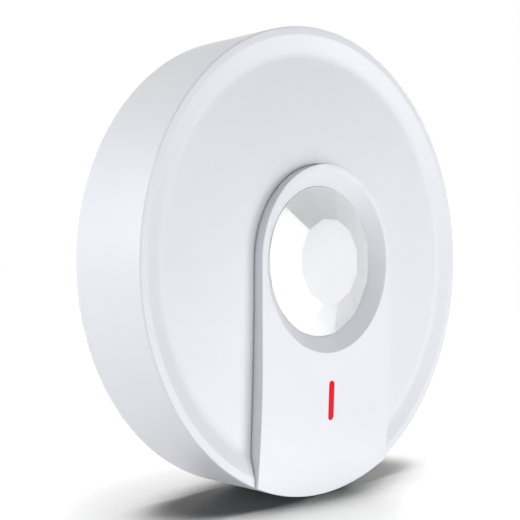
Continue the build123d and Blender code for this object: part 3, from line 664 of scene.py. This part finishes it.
def facets(skin, inset):
    """The table and both rings of facets, moved in by inset. Gives the round rim below them."""
    radius = LENS_RADIUS - inset
    middle_flat = (LENS_MIDDLE_RADIUS - inset) * TO_FLAT
    fall = (LENS_MIDDLE - LENS_SEAT) / (LENS_RADIUS - LENS_MIDDLE_RADIUS * TO_FLAT)
    table = skin.loop(lens_corners(LENS_TABLE_RADIUS - inset, LENS_TABLE - inset))
    middle = skin.loop(lens_corners(LENS_MIDDLE_RADIUS - inset, LENS_MIDDLE - inset))
    skin.faces.append(tuple(table))
    skin.bridge(table, middle)
    points = []
    for side in range(SIDES):
        for part in range(RIM_PARTS):
            a = 2 * pi * (side + 0.5 + part / RIM_PARTS) / SIDES
            off_middle = 2 * pi * (part / RIM_PARTS - 0.5) / SIDES
            drop = fall * (radius * cos(off_middle) - middle_flat)
            points.append((radius * cos(a), radius * sin(a), LENS_MIDDLE - inset - drop))
    rim = skin.loop(points)
    for side in range(SIDES):
        arc = [rim[(side * RIM_PARTS + part) % len(rim)] for part in range(RIM_PARTS + 1)]
        skin.faces.append((middle[side], *arc, middle[(side + 1) % SIDES]))
    return rim


def lens():
    skin = Skin()
    outer = facets(skin, 0)
    inner = facets(skin, LENS_WALL)
    flange = (
        (LENS_RADIUS, FLANGE_FRONT),
        (LENS_RADIUS + FLANGE_WIDTH, FLANGE_FRONT),
        (LENS_RADIUS + FLANGE_WIDTH, LENS_REAR),
        (LENS_RADIUS - LENS_WALL, LENS_REAR),
    )
    steps = [skin.loop(circle(radius, depth, len(outer), pi / SIDES)) for radius, depth in flange]
    skin.bridge_all([outer] + steps + [inner])
    made = skin.build("faceted_lens", "detector", "lens_polyethylene", FACET_SHARP)
    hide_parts("lens")
    round_edges(made, "facet_edges", LENS_EDGE, LENS_EDGE_STEPS, FACET_SHARP)
    return made


# Indicator

def indicator():
    skin = Skin()
    rows = [skin.loop(at(stadium(0), PIPE_LOW))]
    for a in spread(0, pi / 2, PIPE_ROUND_STEPS):
        outline = stadium(-PIPE_ROUND * (1 - cos(a)))
        drop = PIPE_ROUND * (1 - sin(a))
        rows.append(skin.loop([(x, y, fascia_level(y) - drop) for x, y in outline]))
    skin.bridge_all(rows)
    spine = [(PIPE_X, PIPE_Y + y) for y in spread(-SPINE_HALF, SPINE_HALF, SPINE_STEPS)]
    skin.fill(rows[-1], [], front_level, spine)
    skin.fill(rows[0], [], lambda x, y: PIPE_LOW)
    made = skin.build("indicator_bar", "detector", "red_light_pipe")
    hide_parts("light_pipe")
    even_normals(made)
    return made


# The pieces that keep their CAD shape

SLOTS = {part["node"]: part["material_slot"] for part in frame["record"]["subparts"]}


def polished(node):
    """A copy of a CAD node in its place, with whole faces, rounded edges and smooth curves."""
    source = frame["nodes"][node]
    work = bmesh.new()
    work.from_mesh(source.data)
    bmesh.ops.remove_doubles(work, verts=work.verts, dist=SAME_CAD_POINT)
    bmesh.ops.dissolve_limit(work, angle_limit=SAME_FACE, verts=work.verts, edges=work.edges)
    mesh = bpy.data.meshes.new(node + "_finish")
    work.to_mesh(mesh)
    work.free()
    made = smooth_object(node + "_finish", mesh, SHARP)
    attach(made, source["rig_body"])
    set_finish(made, SLOTS[node])
    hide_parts(node)
    round_edges(made, "rounded_edges", EDGES.get(node, EDGE), EDGE_STEPS, SHARP)
    return made


own = {"front_housing": housing(), "fascia": fascia(), "lens": lens(), "light_pipe": indicator()}
pieces = list(own.values()) + [polished(node) for node in frame["nodes"] if node not in own]

# Materials

# Noise: the mottling of the colour and the gloss, and the moulded grain, with the scale of each
# in cycles per metre
MOTTLE_SCALE = 60.0
MOTTLE_DETAIL = 4.0
GRAIN_SCALE = 4000.0
GRAIN_DETAIL = 2.0
COAT_ROUGHNESS = 0.1


def add(tree, kind, inputs, **settings):
    """A new node with its settings. Each input is given a value, or the output that feeds it."""
    node = tree.nodes.new(kind)
    for name, value in settings.items():
        setattr(node, name, value)
    for name, value in inputs.items():
        if isinstance(value, bpy.types.NodeSocket):
            tree.links.new(value, node.inputs[name])
        else:
            node.inputs[name].default_value = value
    return node


def material(name, colour, roughness, wear=0.03, variation=0.02, metallic=0.0, specular=0.5,
             coat=0.0, grain=0.0, emission=0.0):
    """A procedural finish: slight mottling of the colour, an uneven gloss and a moulded grain.

    The grain is the height of its bumps, and the wear is how far the roughness goes up and down.
    """
    made = bpy.data.materials.new(name)
    made.use_nodes = True
    tree = made.node_tree
    shader = tree.nodes["Principled BSDF"]
    where = add(tree, "ShaderNodeTexCoord", {}).outputs["Object"]
    mottle = add(tree, "ShaderNodeTexNoise", {
        "Scale": MOTTLE_SCALE,
        "Detail": MOTTLE_DETAIL,
        "Vector": where,
    }).outputs["Fac"]
    tint = add(tree, "ShaderNodeMix", {
        "A": (*(part * (1 - variation) for part in colour), 1),
        "B": (*(min(1.0, part * (1 + variation)) for part in colour), 1),
        "Factor": mottle,
    }, data_type="RGBA")
    gloss = add(tree, "ShaderNodeMapRange", {
        "To Min": roughness - wear,
        "To Max": roughness + wear,
        "Value": mottle,
    })
    tree.links.new(tint.outputs["Result"], shader.inputs["Base Color"])
    tree.links.new(gloss.outputs["Result"], shader.inputs["Roughness"])
    if grain:
        fine = add(tree, "ShaderNodeTexNoise", {
            "Scale": GRAIN_SCALE,
            "Detail": GRAIN_DETAIL,
            "Vector": where,
        })
        bump = add(tree, "ShaderNodeBump", {
            "Strength": 1.0,
            "Distance": grain * MM,
            "Height": fine.outputs["Fac"],
        })
        tree.links.new(bump.outputs["Normal"], shader.inputs["Normal"])
    shader.inputs["Metallic"].default_value = metallic
    shader.inputs["Specular IOR Level"].default_value = specular
    shader.inputs["Coat Weight"].default_value = coat
    shader.inputs["Coat Roughness"].default_value = COAT_ROUGHNESS
    # Where emission is given, a painted glow in the finish's own colour
    if emission:
        shader.inputs["Emission Color"].default_value = (*colour, 1)
        shader.inputs["Emission Strength"].default_value = emission
    return made


# A surface rougher than about 0.29 doesn't mirror the white background, so each finish, with its
# wear, stays on one side of that
FINISHES = {
    "housing_white": material(
        "moulded_white", (0.745, 0.765, 0.805), 0.33, wear=0.02, specular=0.8, grain=0.002),
    "fascia_white": material(
        "fascia_white", (0.755, 0.775, 0.815), 0.33, wear=0.02, specular=0.8, grain=0.002),
    "lens_polyethylene": material(
        "lens_polyethylene", (0.62, 0.632, 0.65), 0.16, variation=0.01, specular=0.8, coat=1.0),
    # The indicator bar has a painted glow: its emission brightens the red plastic, with no lamp in the bar
    "red_light_pipe": material(
        "red_acrylic_painted_glow", (0.62, 0.004, 0.018), 0.4, specular=0.05, emission=0.4),
    "inner_plastic": material("inner_plastic", (0.72, 0.73, 0.74), 0.5, grain=0.005),
    "circuit_board_green": material(
        "board_lacquer", (0.01, 0.12, 0.05), 0.34, wear=0.02, coat=0.3),
    "tinned_can": material("tinned_can", (0.75, 0.74, 0.70), 0.25, metallic=1.0),
    "sensor_filter": material("sensor_filter", (0.02, 0.02, 0.03), 0.1),
    "lamp_body": material("lamp_body", (0.8, 0.8, 0.75), 0.35),
    "plated_screw": material("plated_screw", (0.62, 0.62, 0.60), 0.25, metallic=1.0),
    "copper_wire": material("copper_strip", (0.85, 0.50, 0.30), 0.25, metallic=1.0),
    "black_package": material("black_package", (0.02, 0.02, 0.022), 0.5),
    "capacitor_sleeve": material("capacitor_sleeve", (0.03, 0.04, 0.12), 0.35),
    "nickel_contact": material("nickel_contact", (0.70, 0.68, 0.62), 0.24, metallic=1.0),
    "cell_sleeve": material("cell_sleeve", (0.12, 0.14, 0.16), 0.34, wear=0.02, coat=0.4),
    "control_black": material("control_black", (0.03, 0.03, 0.032), 0.4),
    "control_grey": material("control_grey", (0.25, 0.26, 0.27), 0.45),
    "plunger_white": material("plunger_white", (0.75, 0.76, 0.77), 0.4),
}

for name, node in frame["nodes"].items():
    node.data.materials.clear()
    node.data.materials.append(FINISHES[SLOTS[name]])
for piece in pieces:
    piece.data.materials.append(FINISHES[piece["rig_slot"]])

# Floor and background

# The floor lights the detector as white plastic would. Where it is seen, it is dark, but it glows
# to white where it is open, and a painted shadow of the detector darkens that glow. Its half width is in
# metres.
FLOOR_HALF = 6.0
FLOOR_COLOUR = 0.8
FLOOR_SEEN = 0.03
FLOOR_ROUGHNESS = 0.3
FLOOR_MIRROR = 0.13
FLOOR_GLOW = 1.04
WORLD_LIGHT = 0.03

# How far up the floor looks for the detector, in metres, and how much of its glow it keeps by how
# open it is there, which paints the detector's shadow on the floor
SHADE_REACH = 0.03
SHADE_SAMPLES = 16
SHADE = ((0.54, 0.0), (0.6, 0.25), (0.65, 0.6), (0.7, 0.72), (0.8, 0.8), (0.92, 0.88), (1.0, 1.0))


def grey(level):
    return (level, level, level, 1)


def seen_by_eye(tree):
    """1 for what is seen directly, in a reflection or through glass, 0 for what lights the scene."""
    path = add(tree, "ShaderNodeLightPath", {})
    seen = path.outputs["Is Camera Ray"]
    for ray in ("Is Glossy Ray", "Is Transmission Ray"):
        either = add(tree, "ShaderNodeMath", {0: seen, 1: path.outputs[ray]}, operation="MAXIMUM")
        seen = either.outputs["Value"]
    return seen


def glow_with_painted_shadow(tree):
    """How much of its glow the floor keeps by how open it is: a painted shadow where the detector stands over
    it.
    """
    shade = add(tree, "ShaderNodeAmbientOcclusion", {"Distance": SHADE_REACH}, samples=SHADE_SAMPLES)
    ramp = add(tree, "ShaderNodeValToRGB", {"Fac": shade.outputs["AO"]})
    stops = ramp.color_ramp.elements
    stops[0].position, stops[1].position = SHADE[0][0], SHADE[-1][0]
    for openness, _ in SHADE[1:-1]:
        stops.new(openness)
    for stop, (_, level) in zip(stops, SHADE):
        stop.color = grey(level)
    return ramp.outputs["Color"]


def floor_material():
    """White that glows where it is seen, with a painted shadow of the detector and a dull reflection."""
    made = bpy.data.materials.new("white_floor")
    made.use_nodes = True
    tree = made.node_tree
    shader = tree.nodes["Principled BSDF"]
    seen = seen_by_eye(tree)
    tint = add(tree, "ShaderNodeMix", {
        "A": grey(FLOOR_COLOUR),
        "B": grey(FLOOR_SEEN),
        "Factor": seen,
    }, data_type="RGBA")
    glow = add(tree, "ShaderNodeMath", {0: glow_with_painted_shadow(tree), 1: seen}, operation="MULTIPLY")
    shader.inputs["Roughness"].default_value = 1.0
    shader.inputs["Specular IOR Level"].default_value = 0.0
    shader.inputs["Emission Color"].default_value = grey(FLOOR_GLOW)
    tree.links.new(tint.outputs["Result"], shader.inputs["Base Color"])
    tree.links.new(glow.outputs["Value"], shader.inputs["Emission Strength"])
    mirror = add(tree, "ShaderNodeBsdfAnisotropic", {"Roughness": FLOOR_ROUGHNESS})
    mix = add(tree, "ShaderNodeMixShader", {
        "Fac": FLOOR_MIRROR,
        1: shader.outputs["BSDF"],
        2: mirror.outputs["BSDF"],
    })
    tree.links.new(mix.outputs["Shader"], tree.nodes["Material Output"].inputs["Surface"])
    return made


def floor():
    work = bmesh.new()
    bmesh.ops.create_grid(work, x_segments=1, y_segments=1, size=FLOOR_HALF)
    mesh = bpy.data.meshes.new("floor")
    work.to_mesh(mesh)
    work.free()
    made = bpy.data.objects.new("floor", mesh)
    made.location.z = -RADIUS * MM
    bpy.context.scene.collection.objects.link(made)
    made.data.materials.append(floor_material())
    # The lamps that stand below the floor light the detector through it
    made.visible_shadow = False


def world():
    """A background that is seen white and gives little light."""
    made = bpy.data.worlds.new("studio")
    bpy.context.scene.world = made
    made.use_nodes = True
    tree = made.node_tree
    background = tree.nodes["Background"]
    background.inputs["Color"].default_value = grey(1)
    level = add(tree, "ShaderNodeMapRange", {
        "To Min": WORLD_LIGHT,
        "To Max": 1.0,
        "Value": seen_by_eye(tree),
    })
    tree.links.new(level.outputs["Result"], background.inputs["Strength"])


# Lamps

# Soft square lamps that face the detector from one distance: azimuth from the front, positive to
# the right, and elevation in degrees, size in metres, power in watts
LAMP_DISTANCE = 0.6
LAMPS = {
    "left_behind": (-115, 18, 0.4, 1.95),
    "left": (-84, 12, 0.4, 1.0),
    "front_below": (20, -50, 0.22, 0.1),
    "right_below": (45, -30, 0.22, 0.33),
    "right_low": (36, -12, 0.22, 0.27),
    "front_right_below": (29, -29, 0.2, 0.3),
    "front_low": (12, -16, 0.2, 0.5),
    "front": (6, 1, 0.18, 0.4),
    "right": (45, 0, 0.22, 0.26),
    "front_high": (15, 14, 0.2, 0.56),
    "behind": (170, 8, 0.4, 1.1),
    "right_side": (108, 8, 0.4, 1.3),
    "right_above": (105, 45, 0.4, 0.6),
}


def lamp(name, azimuth, elevation, size, power):
    data = bpy.data.lights.new(name, "AREA")
    data.shape = "SQUARE"
    data.size = size
    data.energy = power
    # Rays that leave the detector and meet the floor first would take away the light from below it
    data.cycles.use_multiple_importance_sampling = False
    made = bpy.data.objects.new(name, data)
    a, e = radians(azimuth), radians(elevation)
    way = Vector((sin(a) * cos(e), -cos(a) * cos(e), sin(e)))
    made.location = way * LAMP_DISTANCE
    made.rotation_euler = (-way).to_track_quat("-Z", "Y").to_euler()
    bpy.context.scene.collection.objects.link(made)


# Camera

# The photograph's: where it stands and looks, in the frame's millimetres, its roll in degrees,
# and its focal length and the width of its film in millimetres
CAMERA_SPOT = (-171.85, -171.05, 0.5)
CAMERA_AIM = (1.056, 0.0, 0.342)
CAMERA_ROLL = -0.075
CAMERA_LENS = 66.24
CAMERA_FILM = 36.0


def camera():
    data = bpy.data.cameras.new("photo_camera")
    data.sensor_width = CAMERA_FILM
    data.lens = CAMERA_LENS
    made = bpy.data.objects.new("photo_camera", data)
    spot = Vector(CAMERA_SPOT) * MM
    aim = Vector(CAMERA_AIM) * MM
    turn = (aim - spot).to_track_quat("-Z", "Y").to_matrix()
    roll = Matrix.Rotation(radians(CAMERA_ROLL), 3, "Z")
    made.matrix_world = Matrix.Translation(spot) @ (turn @ roll).to_4x4()
    bpy.context.scene.collection.objects.link(made)
    bpy.context.scene.camera = made


floor()
world()
for name, setting in LAMPS.items():
    lamp(name, *setting)
camera()
bpy.context.scene.view_settings.view_transform = "Standard"
